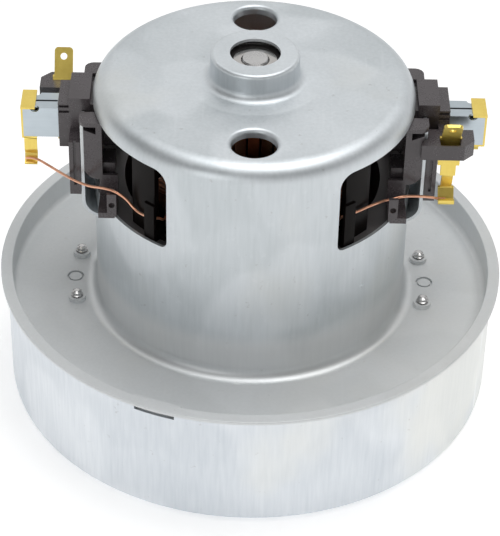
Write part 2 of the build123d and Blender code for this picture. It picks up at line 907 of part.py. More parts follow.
def stator_core():
    """Laminated field stack: yoke ring and two poles towards minus and plus Y."""
    yoke = tube(can_inner - running_gap, yoke_inner, stack_bottom, stack_top)
    start = full_turn * 3 / 4 - shoe_half_angle
    shoe = sector(stator_bore, shoe_radius, start, start + 2 * shoe_half_angle, stack_bottom, stack_top)
    root = -yoke_inner - seat_gap
    pole = block(-pole_half_width, pole_half_width, root, -stator_bore, stack_bottom, stack_top)
    pole = pole - disc(stator_bore, stack_bottom - overrun, stack_top + overrun)
    core = yoke + shoe + pole + half_turn(shoe) + half_turn(pole)
    notch = Pos(can_inner, 0, 0) * disc(yoke_notch_radius, stack_bottom - overrun, stack_top + overrun)
    return core - notch - half_turn(notch)


def coil_core():
    """Body of the front field coil: a saddle round the pole towards minus Y."""
    front = full_turn * 3 / 4
    saddle = sector(
        coil_inner, coil_outer, front - coil_half_angle, front + coil_half_angle, coil_bottom, coil_top
    )
    saddle = fillet(radial_edges(saddle, 0, can_top), coil_corner)
    eye = block(
        -pole_half_width - fit_gap, pole_half_width + fit_gap, -can_radius, 0,
        stack_bottom - fit_gap, stack_top + frame_sheet + fit_gap,
    )
    return saddle - eye


def coil_route():
    """Corners of the outer layer of turns, and their bend radii."""
    front = full_turn * 3 / 4
    pitch = 2 * field_wire + field_wire_gap
    first = coil_inner + field_wire + wire_lift
    high = coil_top + field_wire + wire_lift
    low = coil_bottom - field_wire - wire_lift
    beyond = coil_half_angle + math.degrees((field_wire + wire_lift) / coil_inner)
    points = []
    for loop in range(field_loops):
        start = first + pitch * loop
        for station in range(loop_stations):
            share = station / (loop_stations - 1)
            angle = front + beyond * (2 * share - 1)
            points.append(polar(start, angle, high))
        for station in range(loop_stations):
            share = station / (loop_stations - 1)
            angle = front + beyond * (1 - 2 * share)
            points.append(polar(start + pitch * share, angle, low))
    return points


def coil_turns():
    """Outer layer of turns of the front field coil as one unbroken wire."""
    points = coil_route()
    path = FilletPolyline(*points, radius=bend_radii(points, lead_bend_share))
    gap = least_gap(path, gap_samples, gap_skip, field_wire)
    print("field coil wire: least gap to itself", round(gap, 2))
    start = Plane(origin=path @ 0, z_dir=path % 0)
    return sweep(start * Circle(field_wire), path=path)


def coil_frame():
    """Moulded frame on top of the field stack that carries the front coil's head."""
    front = full_turn * 3 / 4
    inner_face = coil_inner - fit_gap
    outer_face = coil_outer + fit_gap
    middle = front - frame_skew_angle
    start = middle - frame_wall_end_angle
    end = middle + frame_wall_end_angle
    base_top = stack_top + frame_sheet
    base = sector(inner_face - frame_sheet, frame_wall_outer, start, end, stack_top, base_top)
    base = base & block(-pole_half_width, pole_half_width, -can_radius, 0, stack_top, base_top)
    ledge = sector(outer_face, frame_wall_outer, start, end, stack_top, base_top)
    lip = sector(outer_face, outer_face + frame_sheet, start, end, stack_top, stack_top + frame_lip_height)
    inner = sector(
        inner_face - frame_sheet, inner_face, front - coil_half_angle, front + coil_half_angle,
        stack_top, coil_top + frame_sheet,
    )
    frame = base + ledge + lip + inner
    for side, post_top in ((-1, frame_post_left_top), (1, frame_post_right_top)):
        near, far = sorted((middle + side * frame_wall_start_angle, middle + side * frame_wall_end_angle))
        wall = sector(frame_wall_inner, frame_wall_outer, near, far, stack_top, frame_wall_top)
        near, far = sorted((middle + side * frame_post_start_angle, middle + side * frame_post_end_angle))
        foot = sector(frame_wall_inner, frame_post_outer, near, far, stack_top, frame_post_foot)
        post = sector(frame_post_inner, frame_post_outer, near, far, stack_top, post_top)
        notch = Rot(0, 0, front + side * frame_notch_angle) * block(
            coil_outer, frame_wall_inner - fit_gap, -frame_notch_width / 2, frame_notch_width / 2,
            base_top, base_top + frame_notch_height,
        )
        frame = frame - notch + wall + foot + post
    return frame


def brush_tube():
    """Folded steel tube of the brush towards plus X, seamed along its top."""
    low = brush_height - tube_half_height
    high = brush_height + tube_half_height
    body = block(tube_start, tube_end, -tube_half_width, tube_half_width, low, high)
    body = body - block(
        tube_start - overrun, tube_end + overrun, -tube_inner_half_width, tube_inner_half_width,
        low + tube_wall, high - tube_wall,
    )
    seam = block(
        neck_outer + tube_seam_step, tube_end + overrun, -tube_seam / 2, tube_seam / 2,
        high - 2 * tube_wall, high + overrun,
    )
    hole = Pos(tube_end - tube_notch_inset, 0, high) * Sphere(tube_notch_radius)
    for side in (-1, 1):
        body = body - Pos(0, side * tube_half_width, 0) * hole
    return body - seam


def brush():
    """Carbon brush towards plus X, bedded to the commutator."""
    half_width = tube_inner_half_width - seat_gap
    half_height = tube_inner_half_height - seat_gap
    body = block(
        brush_start - overrun, brush_end, -half_width, half_width,
        brush_height - half_height, brush_height + half_height,
    )
    face = disc(commutator_radius + running_gap, commutator_bottom - overrun, commutator_top + overrun)
    return chamfer(body.faces().sort_by(Axis.X)[-1].edges(), brush_chamfer) - face


def brush_spring():
    """Coil spring between the brush and the cap."""
    height = tube_end - brush_end - 2 * spring_wire - 2 * seat_gap
    path = Helix(pitch=height / spring_turns, height=height, radius=spring_radius)
    start = Plane(origin=path @ 0, z_dir=path % 0)
    wire = sweep(start * Circle(spring_wire), path=path, is_frenet=True)
    return Pos(brush_end + spring_wire + seat_gap, 0, brush_height) * Rot(0, 90, 0) * wire


def braid():
    """Braided shunt that carries the current from the cap to the brush."""
    length = tube_end - brush_end
    return Pos(brush_end + length / 2, 0, brush_height) * Rot(0, 90, 0) * Cylinder(braid_radius, length)


def brush_cap():
    """Brass end cap: end plate, top flap, and a bottom strip that ends in a wire hook."""
    low = brush_height - tube_half_height
    high = brush_height + tube_half_height
    side = tube_half_width
    face = tube_end + cap_sheet
    top = high + cap_sheet
    plate = block(tube_end, face, -side, side, low - hook_sheet, top)
    flap = block(tube_end - cap_flap_length, face, -cap_flap_half_width, cap_flap_half_width, high, top)
    drop = low - hook_sheet / 2
    path = [
        (-side, drop, 0),
        (side + hook_sheet / 2, drop, hook_sheet),
        (side + hook_sheet, low - side, hook_sheet),
        (side - hook_sheet / 2, low - side - hook_foot_width / 3, hook_sheet),
        (side + hook_sheet, low - side - hook_foot_width * 2 / 3, hook_sheet),
        (side + hook_foot_width / 2, low - side - hook_foot_width * 4 / 5, 0),
    ]
    strip = ribbon(path, hook_sheet, "x", hook_inner, hook_outer)
    arm = block(hook_outer - seat_gap, face, -side, side, low - hook_sheet, low)
    return plate + flap + strip + arm


def brush_holder():
    """Moulded brush holder towards plus X; its terminal block points to minus Y."""
    low = brush_height - tube_half_height
    high = brush_height + tube_half_height
    step = neck_half_width - neck_step
    neck = prism([
        (-step, neck_bottom, 0), (step, neck_bottom, 0),
        (step, neck_bottom + neck_step_height, 0), (neck_half_width, neck_bottom + neck_step_height, 0),
        (neck_half_width, neck_top, 0), (-neck_half_width, neck_top, 0),
        (-neck_half_width, neck_bottom + neck_step_height, 0), (-step, neck_bottom + neck_step_height, 0),
    ], "x", cheek_inner, neck_outer)
    slim = neck_half_width - neck_slim
    neck = neck + block(
        neck_inner, cheek_inner + seat_gap, -slim, slim, neck_bottom + neck_slim, neck_top - 2 * neck_slim
    )
    crown_low = neck_top - groove_spacing
    crown = block(crown_inner, crown_outer, -crown_half_width, crown_half_width, crown_low, crown_top)
    plate = block(plate_inner, plate_outer, -plate_half_width, plate_half_width, plate_bottom, plate_top)
    cheek_outer = tongue_face - sheet - fit_gap
    cheek = prism([
        (cheek_inner, cheek_bottom, 0), (cheek_outer, cheek_bottom, cheek_round),
        (cheek_outer, cheek_top, 0), (cheek_inner, cheek_top - cheek_fall, 0),
    ], "y", -cheek_half_width, cheek_half_width)
    body = neck + crown + plate + cheek
    for side in (-1, 1):
        near, far = sorted((side * neck_half_width, side * lug_half_width))
        body = body + block(
            lug_inner, cheek_inner + seat_gap, near, far,
            cheek_bottom - groove_height, cheek_bottom + lug_height,
        )
        near, far = sorted((side * ear_start, side * ear_end))
        ear = prism([
            (cheek_inner, side * ear_start, 0), (can_radius + ear_reach, side * ear_start, 0),
            (can_radius + ear_reach, side * ear_end, ear_round), (cheek_inner, side * ear_end, 0),
        ], "z", neck_top - ear_sheet, neck_top)
        wall = block(
            cheek_inner, cheek_inner + ear_wall, max(near, -cheek_half_width), min(far, cheek_half_width),
            cheek_top - cheek_fall - seat_gap, neck_top,
        )
        body = body + ear + wall
        near, far = sorted((side * leg_back, side * leg_front))
        leg = block(leg_inner, leg_outer, near, far, leg_bottom, leg_panel_top)
        near, far = sorted((side * (leg_back + leg_sheet), side * (leg_front + overrun)))
        bar_top = leg_bottom + leg_bar_height
        leg = leg - block(
            leg_inner + leg_panel, leg_outer + overrun, near, far, bar_top, leg_panel_top + overrun
        )
        near, far = sorted((side * (leg_back + leg_sheet), side * (leg_front - leg_sheet)))
        leg = leg - block(
            leg_inner - overrun, leg_inner + leg_panel + overrun, near, far, bar_top, leg_panel_top + overrun
        )
        hole = Pos(leg_inner + leg_hole_inset, side * leg_front, leg_bottom + leg_hole_height)
        leg = leg - hole * Rot(90, 0, 0) * Cylinder(leg_hole, 2 * leg_sheet + overrun)
        body = body + leg
        middle = (plate_inner + plate_outer) / 2
        groove = block(
            middle - plate_groove / 2, middle + plate_groove / 2,
            side * plate_half_width - plate_groove, side * plate_half_width + plate_groove,
            plate_bottom + plate_thickness, plate_top + overrun,
        )
        body = body - groove
        for level in (neck_top - groove_spacing / 2, neck_top - groove_spacing * 3 / 2):
            slot = block(
                crown_outer, neck_slot_outer, side * neck_half_width - groove_depth,
                side * neck_half_width + groove_depth, level - groove_height / 2, level + groove_height / 2,
            )
            body = body - slot
    block_inner = tab_place - block_inward
    block_outer = tab_place + block_outward
    terminal_block = prism([
        (block_inner, -block_back, 0), (block_inner, -block_front, 0),
        (block_outer - block_chamfer, -block_front, 0), (block_outer, -block_front + block_chamfer, 0),
        (block_outer, -block_back, 0),
    ], "z", block_bottom, block_top)
    link = block(plate_outer, neck_outer, -block_back - seat_gap, -step, block_bottom, block_top)
    body = body + terminal_block + link
    recess = block(
        tab_place - recess_inward, tab_place + recess_outward, -block_front + recess_wall,
        -strip_place - terminal_sheet / 2, block_top - recess_depth, block_top + overrun,
    )
    slot = block(
        tab_place - strip_wide / 2, tab_place + strip_wide / 2, -strip_place - terminal_sheet / 2,
        -strip_place + terminal_sheet / 2, block_bottom - overrun, block_top + overrun,
    )
    body = body - recess - slot
    for side in (-1, 1):
        near, far = sorted((side * neck_half_width, side * (tongue_half_width + fit_gap)))
        body = body - block(
            cheek_outer, tongue_face + fit_gap, near, far,
            tongue_root - overrun, tongue_top + fit_gap,
        )
    body = body - disc(can_radius + fit_gap, leg_bottom - overrun, window_bottom + fit_gap)
    channel = block(neck_inner - overrun, neck_slot_outer, -tube_half_width, tube_half_width, low, high)
    return body - channel - disc(can_radius + fit_gap, window_top - fit_gap, crown_top + overrun)


def terminal():
    """Brass terminal towards plus X: leaning spade tab above, waisted strip and wire hook below."""
    lean = math.radians(tab_lean)
    side = -strip_place
    tip = (side - tab_length * math.sin(lean), block_top + tab_length * math.cos(lean))
    path = [
        (tip[0], tip[1], 0),
        (side, block_top, strip_bend),
        (side, strip_neck, strip_bend),
        (side + strip_kink_in, strip_kink, strip_bend),
        (side - strip_end_out, strip_end, strip_bend / 2),
        (side - strip_curl, strip_end, strip_bend / 2),
        (side - strip_curl, strip_end + strip_curl_rise, 0),
    ]
    half_width = strip_wide / 2
    body = ribbon(path, terminal_sheet, "x", tab_place - half_width, tab_place + half_width)
    cuts = [
        (tab_width, block_top + terminal_sheet, tip[1] + overrun),
        (strip_neck_width, strip_neck, strip_shoulder),
        (strip_waist, strip_kink, strip_neck),
        (strip_foot, strip_end - overrun, strip_kink),
    ]
    for width, bottom, top in cuts:
        for sign in (-1, 1):
            near, far = sorted((tab_place + sign * width / 2, tab_place + sign * strip_wide))
            body = body - block(near, far, side - tab_length, side + tab_length, bottom, top)
    along = Pos(tab_place, tip[0], tip[1]) * Rot(tab_lean, 0, 0)
    through = 4 * terminal_sheet
    body = body - along * Pos(0, 0, -tab_hole_inset) * Rot(90, 0, 0) * Cylinder(tab_hole, through)
    for sign in (-1, 1):
        edge = sign * tab_width / 2
        near, far = sorted((edge, edge - sign * tab_corner))
        square = block(near, far, -terminal_sheet, terminal_sheet, -tab_corner, tab_corner)
        centre = Pos(edge - sign * tab_corner, 0, -tab_corner)
        round_off = centre * Rot(90, 0, 0) * Cylinder(tab_corner, through)
        body = body - along * (square - round_off)
    return body


# Routes of the two visible coil leads, chosen by hand; the other two are the same on the far side.
cap_lead_route = [
    (lead_hold - hook_outer, -5.0, 70.5), (lead_bite - hook_outer, -5.1, 70.7), (-55.4, -6.3, 70.9),
    (-52.7, -8.4, 70.6), (-49.3, -11.1, 70.2), (-45.4, -14.2, 70.0), (-41.6, -17.2, 70.6),
    (-38.0, -20.1, 72.3), (-34.9, -22.6, 73.2), (-31.9, -23.9, 71.8), (-30.0, -24.7, 69.4),
    (-27.9, -26.9, 69.2), (-25.9, -28.9, 69.9), (-24.6, -29.9, 70.4), (-23.4, -29.3, 69.9),
    (-22.5, -28.6, 68.9), (-22.0, -27.4, 68.6), (-21.55, -25.3, 68.7),
]
strip_lead_route = [
    (tab_place - lead_start_inset, -13.3, 66.0), (tab_place - lead_free_inset, -13.35, 66.1),
    (45.6, -15.3, 67.9), (42.6, -17.1, 69.4), (40.1, -18.2, 70.2), (37.8, -19.1, 70.6),
    (35.5, -19.8, 70.3), (33.4, -21.4, 70.9), (30.9, -24.6, 72.2), (28.6, -26.3, 72.3),
    (27.1, -27.8, 72.5), (25.3, -29.4, 72.8), (23.6, -30.8, 73.1), (22.4, -30.7, 72.6),
    (21.7, -29.7, 70.8), (21.6, -28.0, 69.5), (21.55, -25.3, 68.9),
]


def lead(name, route):
    """One coil lead, its bend radii printed."""
    radii = bend_radii(route, lead_bend_share)
    print(name, "bend radii", [round(radius, 1) for radius in radii])
    return round_wire(route, radii, lead_wire)


def build():
    """Makes every piece."""
    keep("motor_housing", motor_housing())
    keep("fan_cover", fan_cover())
    keep("lower_bracket", lower_bracket())
    keep("bracket_screws", bracket_screws())
    keep("diffuser", diffuser())
    bearing(
        "top", top_bore, top_outer, top_bearing_bottom, top_width, top_pitch, top_ball, top_balls,
        top_land_inner, top_land_outer,
    )
    bearing(
        "lower", low_bore, low_outer, low_bearing_bottom, low_width, low_pitch, low_ball, low_balls,
        low_land_inner, low_land_outer,
    )
    keep("tolerance_ring", tolerance_ring())
    keep("wave_washer", wave_washer())
    keep("shaft", shaft())
    armature()
    impeller()
    keep("stator_core", stator_core())
    core = coil_core()
    turns = coil_turns()
    keep("front_field_coil", Compound(children=[core, turns]))
    keep("back_field_coil", Compound(children=[half_turn(core), half_turn(turns)]))
    frame = coil_frame()
    keep("front_coil_frame", frame)
    keep("back_coil_frame", half_turn(frame))
    for maker, name in (
        (brush_tube, "brush_tube"), (brush, "carbon_brush"), (brush_spring, "brush_spring"),
        (braid, "brush_braid"), (brush_cap, "brush_cap"), (brush_holder, "brush_holder"),
        (terminal, "terminal"),
    ):
        shape = maker()
        keep("right_" + name, shape)
        keep("left_" + name, half_turn(shape))
    cap_lead = lead("cap lead", cap_lead_route)
    strip_lead = lead("strip lead", strip_lead_route)
    keep("front_left_lead", cap_lead)
    keep("front_right_lead", strip_lead)
    keep("back_right_lead", half_turn(cap_lead))
    keep("back_left_lead", half_turn(strip_lead))


build()
os.makedirs("parts", exist_ok=True)
for name, shape in pieces.items():
    export_step(shape, os.path.join("parts", name + ".step"))
print(len(pieces), "pieces")
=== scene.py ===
import json
import logging
import math
from dataclasses import dataclass
from enum import Enum
from typing import Any, Mapping, Optional, Sequence, Union

import bmesh
import bpy
from mathutils import Matrix, Vector

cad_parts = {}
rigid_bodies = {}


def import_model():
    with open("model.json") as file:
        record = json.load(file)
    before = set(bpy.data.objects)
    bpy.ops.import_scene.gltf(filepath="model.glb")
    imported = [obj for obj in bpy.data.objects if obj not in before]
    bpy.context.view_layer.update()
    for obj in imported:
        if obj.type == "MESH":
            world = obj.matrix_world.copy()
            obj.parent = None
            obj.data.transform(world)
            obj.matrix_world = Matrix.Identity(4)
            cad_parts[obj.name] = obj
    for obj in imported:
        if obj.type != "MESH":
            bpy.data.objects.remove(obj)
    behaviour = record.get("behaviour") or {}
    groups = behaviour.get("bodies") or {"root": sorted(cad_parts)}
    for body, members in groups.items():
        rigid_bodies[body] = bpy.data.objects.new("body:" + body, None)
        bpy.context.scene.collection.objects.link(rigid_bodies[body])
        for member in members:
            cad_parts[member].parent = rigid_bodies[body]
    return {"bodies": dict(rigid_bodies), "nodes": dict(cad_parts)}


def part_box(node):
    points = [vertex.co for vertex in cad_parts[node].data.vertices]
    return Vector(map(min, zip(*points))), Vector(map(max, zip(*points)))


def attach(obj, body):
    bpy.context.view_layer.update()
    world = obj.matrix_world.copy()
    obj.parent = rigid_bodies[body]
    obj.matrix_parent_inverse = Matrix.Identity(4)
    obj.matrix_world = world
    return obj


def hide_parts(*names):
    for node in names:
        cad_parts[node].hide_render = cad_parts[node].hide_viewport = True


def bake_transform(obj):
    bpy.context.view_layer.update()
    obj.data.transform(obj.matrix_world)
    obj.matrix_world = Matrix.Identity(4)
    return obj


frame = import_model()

LOG = logging.getLogger("vacuum_motor")
MM = 0.001
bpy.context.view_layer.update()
MERGE_DISTANCE = 0.001 * MM
FLAT_ANGLE = math.radians(1.0)
Colour = tuple[float, float, float, float]
Triple = tuple[float, float, float]
UNSTRETCHED: Triple = (1.0, 1.0, 1.0)
ROUND_THE_AXIS: Triple = (1.0, 1.0, 0.0)


# Shader expressions


class Socket:
    """A node's output that takes part in Python expressions."""

    def __init__(self, nodes: "Nodes", output: bpy.types.NodeSocket) -> None:
        """Wraps a node's output socket."""
        self.nodes = nodes
        self.output = output

    def math(self, operation: str, *others: "Value", first: Optional["Value"] = None) -> "Socket":
        """Adds a Math node on this socket and others; an operand named first goes before it."""
        values = ([first] if first is not None else []) + [self, *others]
        return self.nodes.node("ShaderNodeMath", {"operation": operation}, dict(enumerate(values)))

    def __add__(self, other: "Value") -> "Socket":
        """Sum."""
        return self.math("ADD", other)

    def __radd__(self, other: "Value") -> "Socket":
        """Reflected sum."""
        return self.math("ADD", other)

    def __sub__(self, other: "Value") -> "Socket":
        """Difference."""
        return self.math("SUBTRACT", other)

    def __rsub__(self, other: "Value") -> "Socket":
        """Reflected difference."""
        return self.math("SUBTRACT", first=other)

    def __mul__(self, other: "Value") -> "Socket":
        """Product."""
        return self.math("MULTIPLY", other)

    def __rmul__(self, other: "Value") -> "Socket":
        """Reflected product."""
        return self.math("MULTIPLY", other)

    def step(self, low: float, high: float) -> "Socket":
        """Smooth step from 0 at low to 1 at high.

        Args:
            low: the value that gives 0.
            high: the value that gives 1.

        Returns:
            The eased share between the two.
        """
        settings = {"interpolation_type": "SMOOTHSTEP"}
        inputs = {"Value": self, "From Min": low, "From Max": high}
        return self.nodes.node("ShaderNodeMapRange", settings, inputs)

    def past(self, place: float, softness: float) -> "Socket":
        """Smooth step from 0 to 1 centred on a place; its softness is half the width of the change."""
        return self.step(place - softness, place + softness)


Value = Union[Socket, float, Sequence[float]]


class Nodes:
    """A node tree whose nodes come from one method."""

    def __init__(self, tree: bpy.types.NodeTree) -> None:
        """Empties a material's or a world's tree."""
        self.tree = tree
        self.tree.nodes.clear()

    def feed(self, target: bpy.types.NodeSocket, value: Value) -> None:
        """Links a socket or sets its value.

        Args:
            target: the input socket.
            value: a socket, a number or a colour.
        """
        if isinstance(value, Socket):
            self.tree.links.new(value.output, target)
        else:
            target.default_value = value

    def node(
        self, kind: str, settings: Optional[Mapping[str, Any]] = None,
        inputs: Optional[Mapping[Any, Value]] = None, output: Union[int, str] = 0,
    ) -> Socket:
        """Adds a node.

        Args:
            kind: the node's type.
            settings: its properties, which are set first.
            inputs: values or links by socket name or number.
            output: the output that is wanted.

        Returns:
            That output.
        """
        made = self.tree.nodes.new(kind)
        for key, value in (settings or {}).items():
            setattr(made, key, value)
        for key, value in (inputs or {}).items():
            self.feed(made.inputs[key], value)
        return Socket(self, made.outputs[output])

    def end(self, kind: str, shown: Socket) -> None:
        """Adds the tree's output node, of this type, and the shader that it shows."""
        self.feed(self.tree.nodes.new(kind).inputs["Surface"], shown)


class Axis(Enum):
    """An axis of the object's coordinates."""

    ACROSS = 0
    DEPTH = 1
    HEIGHT = 2


class MixSocket(Enum):
    """Place of a colour Mix node's sockets among all its sockets."""

    SHARE = 0
    LOW = 6
    HIGH = 7
    RESULT = 2


class Shader(Nodes):
    """One procedural material: its Principled shader and the nodes that feed it."""

    def __init__(self, name: str) -> None:
        """Starts a material.

        Args:
            name: the material's name.
        """
        self.material = bpy.data.materials.new(name)
        self.material.use_nodes = True
        super().__init__(self.material.node_tree)
        shown = self.node("ShaderNodeBsdfPrincipled", output="BSDF")
        self.surface = shown.output.node
        self.end("ShaderNodeOutputMaterial", shown)

    def surface_set(self, **values: Value) -> None:
        """Sets the shader's sockets by name; an underscore in a name stands for a space."""
        for key, value in values.items():
            self.feed(self.surface.inputs[key.replace("_", " ")], value)

    def place(self, stretch: Triple = UNSTRETCHED) -> Socket:
        """Object coordinates, stretched along each axis."""
        point = self.node("ShaderNodeTexCoord", output="Object")
        return self.node("ShaderNodeVectorMath", {"operation": "MULTIPLY"}, {0: point, 1: stretch})

    def along(self, axis: Axis) -> Socket:
        """Place along one axis in metres."""
        point = self.node("ShaderNodeTexCoord", output="Object")
        return self.node("ShaderNodeSeparateXYZ", inputs={0: point}, output=axis.value)

    def reach(self) -> Socket:
        """Distance from the motor's axis in metres."""
        level = self.place(ROUND_THE_AXIS)
        return self.node("ShaderNodeVectorMath", {"operation": "LENGTH"}, {0: level}, "Value")

    def cells(self, scale: float, softness: float) -> Socket:
        """A random grey for each crystal cell.

        Args:
            scale: cells per metre.
            softness: how far neighbouring cells run into each other.

        Returns:
            The grey, from 0 to 1.
        """
        inputs = {"Vector": self.place(), "Scale": scale, "Smoothness": softness}
        colour = self.node("ShaderNodeTexVoronoi", {"feature": "SMOOTH_F1"}, inputs, "Color")
        return self.node("ShaderNodeSeparateColor", inputs={0: colour})

    def blend(self, low: Union[Socket, Colour], high: Colour, share: Value) -> Socket:
        """Mixes two colours; the share is that of the second."""
        inputs = {MixSocket.SHARE.value: share, MixSocket.LOW.value: low, MixSocket.HIGH.value: high}
        return self.node("ShaderNodeMix", {"data_type": "RGBA"}, inputs, MixSocket.RESULT.value)

    def relief(self, height: Socket, distance: float) -> None:
        """Feeds a bump to the shader's normal; its distance is the depth in metres of a height of 1."""
        self.surface_set(Normal=self.node("ShaderNodeBump", inputs={"Distance": distance, "Height": height}))


@dataclass(frozen=True)
class Noise:
    """Fractal noise on object coordinates: cells per metre, octaves, and the stretch along each axis."""

    scale: float
    detail: float = 3.0
    stretch: Triple = UNSTRETCHED

    def on(self, shader: Shader) -> Socket:
        """Adds the noise, from 0 to 1, to a material."""
        inputs = {"Vector": shader.place(self.stretch), "Scale": self.scale, "Detail": self.detail}
        return shader.node("ShaderNodeTexNoise", {"noise_dimensions": "3D"}, inputs)


@dataclass(frozen=True)
class Marks:
    """Scattered marks of one colour, which show where a noise rises through a range."""

    tone: Colour
    share: float
    noise: Noise
    low: float
    high: float

    def over(self, shader: Shader, colour: Socket) -> Socket:
        """Lays the marks over a colour of a material."""
        return shader.blend(colour, self.tone, self.noise.on(shader).step(self.low, self.high) * self.share)


# Finishes


def grey(level: float, warmth: float = 0.0) -> Colour:
    """A grey of this brightness, with the warmth added to red and taken from blue."""
    return (level + warmth, level, level - warmth, 1.0)


@dataclass(frozen=True)
class PaleFoot:
    """The low part of the housing, which is duller than the rest and painted paler as painted light, standing
    in for the brighter light on the flange.
    """

    level: float = 40.0 * MM
    softness: float = 3.0 * MM
    tone: Colour = (0.78, 0.785, 0.78, 1.0)
    share: float = 0.5
    metal: float = 0.12

    def mask(self, shader: Shader) -> Socket:
        """Share of the foot at a point: 1 below its level and 0 above it."""
        return 1.0 - shader.along(Axis.HEIGHT).past(self.level, self.softness)


@dataclass(frozen=True)
class RootBend:
    """The bend between the can and the flange, which shines inside the pale foot."""

    reach: float = 44.2 * MM
    reach_softness: float = 1.0 * MM
    level: float = 30.8 * MM
    level_softness: float = 1.5 * MM
    metal: float = 0.72

    def mask(self, shader: Shader) -> Socket:
        """Share of the bend at a point: 1 near the axis and near the flange, and 0 elsewhere."""
        near = 1.0 - shader.reach().past(self.reach, self.reach_softness)
        return near * (1.0 - shader.along(Axis.HEIGHT).past(self.level, self.level_softness))


@dataclass(frozen=True)
class Pocket:
    """The pocket behind the slit under the rim, painted near black as painted shade for the shadow in the
    narrow gap.
    """

    reach: float = 63.4 * MM
    left: float = -29.05 * MM
    right: float = -17.75 * MM
    side_softness: float = 0.15 * MM
    floor: float = 31.5 * MM
    top: float = 34.8 * MM
    level_softness: float = 0.2 * MM
    front: float = -1.0 * MM
    front_softness: float = 1.0 * MM
    tone: Colour = grey(0.015)

    def mask(self, shader: Shader) -> Socket:
        """Share of the pocket at a point.

        Args:
            shader: the housing's material.

        Returns:
            The share: 1 in the box of the pocket past its reach, and 0 elsewhere.
        """
        across = shader.along(Axis.ACROSS)
        height = shader.along(Axis.HEIGHT)
        outside = shader.reach().past(self.reach, self.side_softness)
        beside = across.past(self.left, self.side_softness)
        beside = beside * (1.0 - across.past(self.right, self.side_softness))
        above = height.past(self.floor, self.level_softness)
        under = 1.0 - height.past(self.top, self.level_softness)
        ahead = 1.0 - shader.along(Axis.DEPTH).past(self.front, self.front_softness)
        return outside * beside * above * under * ahead


@dataclass(frozen=True)
class ZincSheet:
    """Galvanised sheet steel: soft crystal mottling, drawing streaks and small scuffs.

    The colour goes from dark to light by a weighted sum of the crystals, two clouds and the streaks.
    """

    name: str
    light: Colour = (0.70, 0.735, 0.76, 1.0)
    dark: Colour = (0.54, 0.58, 0.60, 1.0)
    roughness: float = 0.31
    metal: float = 0.80
    crystal_scale: float = 70.0
    crystal_softness: float = 0.35
    crystal_share: float = 0.7
    crystal_roughness: float = 0.06
    cloud: Noise = Noise(38.0, 4.0)
    cloud_share: float = 0.9
    cloud_roughness: float = 0.10
    cloud_relief: float = 0.4
    broad: Noise = Noise(14.0, 2.0)
    broad_share: float = 0.5
    streaks: Noise = Noise(1100.0, 2.0, (1.0, 1.0, 0.09))
    streak_share: float = 0.75
    streak_middle: float = 0.5
    streak_roughness: float = 0.10
    streak_relief: float = 0.6
    darkening: float = 0.55
    relief: float = 0.01 * MM
    specks: Marks = Marks(grey(0.36), 0.35, Noise(520.0, 2.0), 0.70, 0.78)
    stains: Marks = Marks((0.66, 0.655, 0.60, 1.0), 0.30, Noise(24.0, 3.0, (1.0, 1.0, 0.6)), 0.50, 0.68)
    scratches: Marks = Marks((0.93, 0.95, 0.97, 1.0), 0.06, Noise(640.0, 1.0, (1.0, 0.06, 0.5)), 0.66, 0.74)
    foot: Optional[PaleFoot] = None
    root: Optional[RootBend] = None
    pocket: Optional[Pocket] = None

    def make(self) -> bpy.types.Material:
        """Builds the material.

        Returns:
            The material.
        """
        shader = Shader(self.name)
        crystals = shader.cells(self.crystal_scale, self.crystal_softness)
        cloud = self.cloud.on(shader)
        broad = self.broad.on(shader)
        streaks = self.streaks.on(shader)
        share = crystals * self.crystal_share + cloud * self.cloud_share + broad * self.broad_share
        share = share + (streaks - self.streak_middle) * self.streak_share - self.darkening
        colour = shader.blend(self.dark, self.light, share)
        for marks in (self.specks, self.stains, self.scratches):
            colour = marks.over(shader, colour)
        rough = cloud * self.cloud_roughness + crystals * self.crystal_roughness
        rough = rough + streaks * self.streak_roughness + self.roughness
        colour, metal = self.places(shader, colour)
        shader.surface_set(Base_Color=colour, Roughness=rough, Metallic=metal)
        shader.relief(streaks * self.streak_relief + cloud * self.cloud_relief, self.relief)
        return shader.material

    def places(self, shader: Shader, colour: Socket) -> tuple[Socket, Value]:
        """Changes the finish at the foot (painted paler as painted light), the root bend and the pocket
        (painted shade), where the sheet has them.

        Args:
            shader: the material.
            colour: the sheet's colour.

        Returns:
            The colour and how metallic it is.
        """
        metal: Value = self.metal
        if self.foot and self.root:
            below = self.foot.mask(shader)
            # painted light: the foot's paler tone lightens the low part of the housing
            colour = shader.blend(colour, self.foot.tone, below * self.foot.share)
            metal = self.metal - below * (self.metal - self.foot.metal)
            metal = metal + self.root.mask(shader) * (self.root.metal - self.foot.metal)
        if self.pocket:
            # painted shade: the pocket behind the slit is painted near black and made non-metallic to stand
            # for the shadow in the gap
            pocket_shade = self.pocket.mask(shader)
            colour = shader.blend(colour, self.pocket.tone, pocket_shade)
            metal = metal * (1.0 - pocket_shade)
        return colour, metal


@dataclass(frozen=True)
class Grained:
    """A finish whose colour and roughness vary with a fine grain and a broader cloud.

    The colour goes from dark to light by the weighted sum of the two noises, less an offset.
    """

    name: str
    dark: Colour
    light: Colour
    roughness: float
    grain: Noise
    cloud: Noise
    relief: float
    grain_share: float
    cloud_share: float
    cloud_roughness: float
    grain_roughness: float = 0.08
    darkening: float = 0.1

    def constants(self) -> dict[str, float]:
        """Sockets that are the same all over, by name."""
        return {}

    def make(self) -> bpy.types.Material:
        """Builds the material.

        Returns:
            The material.
        """
        shader = Shader(self.name)
        grain = self.grain.on(shader)
        cloud = self.cloud.on(shader)
        share = grain * self.grain_share + cloud * self.cloud_share - self.darkening
        rough = cloud * self.cloud_roughness + grain * self.grain_roughness + self.roughness
        shader.surface_set(Base_Color=shader.blend(self.dark, self.light, share), Roughness=rough)
        shader.surface_set(**self.constants())
        shader.relief(grain, self.relief)
        return shader.material


